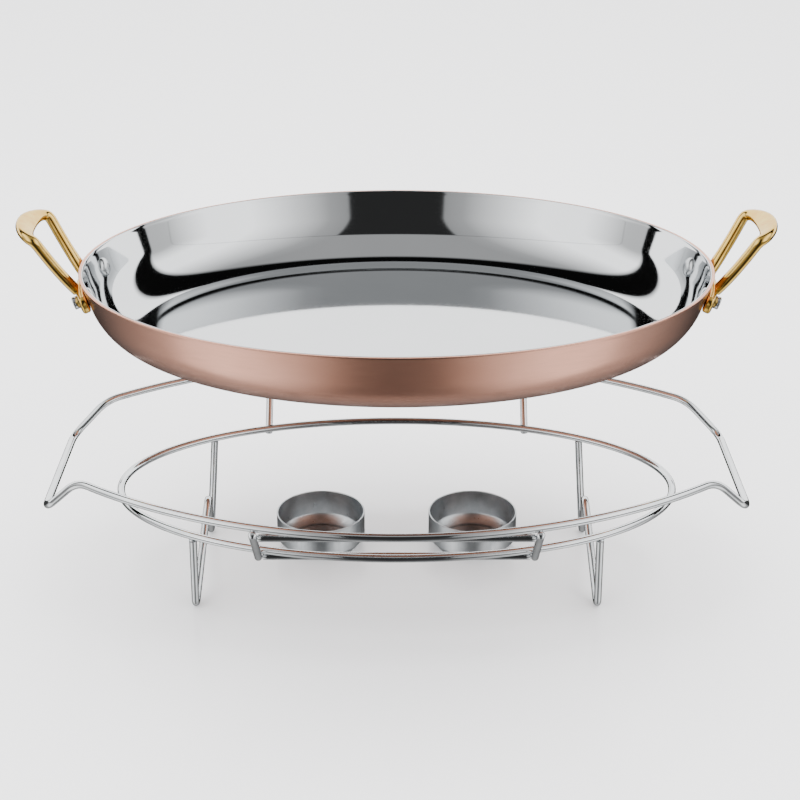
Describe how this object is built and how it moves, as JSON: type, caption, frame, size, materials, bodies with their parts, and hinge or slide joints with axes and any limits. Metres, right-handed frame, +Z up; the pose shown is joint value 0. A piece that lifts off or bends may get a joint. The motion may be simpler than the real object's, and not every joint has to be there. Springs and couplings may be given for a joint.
{
  "type": "oval serving pan on warmer stand",
  "caption": "Oval copper serving pan with steel lining and brass loop handles, lifted above a chromed wire warmer stand with loose tea-light cups under it.",
  "frame": {"origin": "on the table, under the middle of the stand", "axes": "+X along the pan's length, -Y towards the side with the front stiffeners, +Z up"},
  "size_m": [0.3814, 0.244, 0.2019],
  "materials": {
    "copper": null,
    "polished_steel": "mirror-polished stainless steel lining",
    "cast_brass": "polished cast brass",
    "rivet_steel": "plain steel rivets",
    "chromed_wire": "bright chrome plating on round steel wire",
    "cup_steel": "thin pressed stainless steel, lightly brushed"
  },
  "bodies": {
    "stand": {"upper_rail": "chromed_wire", "lower_ring": "chromed_wire", "leg_frame_left": "chromed_wire", "leg_frame_right": "chromed_wire", "strut_front_left": "chromed_wire", "strut_front_right": "chromed_wire", "strut_rear_left": "chromed_wire", "strut_rear_right": "chromed_wire", "front_upper_stiffener": "chromed_wire", "front_lower_stiffener": "chromed_wire"},
    "pan": {"copper_shell": "copper", "steel_lining": "polished_steel", "handle_left": "cast_brass", "handle_right": "cast_brass", "rivet_left_front": "rivet_steel", "rivet_left_rear": "rivet_steel", "rivet_right_front": "rivet_steel", "rivet_right_rear": "rivet_steel"},
    "cup_left": {"tea_light_cup_left": "cup_steel"},
    "cup_right": {"tea_light_cup_right": "cup_steel"}
  },
  "joints": [
    {"name": "pan_lift", "type": "slide", "parent": "stand", "child": "pan", "axis": [0, 0, 1], "range_m": [-0.066, 0.06]},
    {"name": "cup_left_slide", "type": "slide", "parent": "stand", "child": "cup_left", "axis": [0, -1, 0], "range_m": [0, 0.14]},
    {"name": "cup_right_slide", "type": "slide", "parent": "stand", "child": "cup_right", "axis": [0, -1, 0], "range_m": [0, 0.14]}
  ]
}
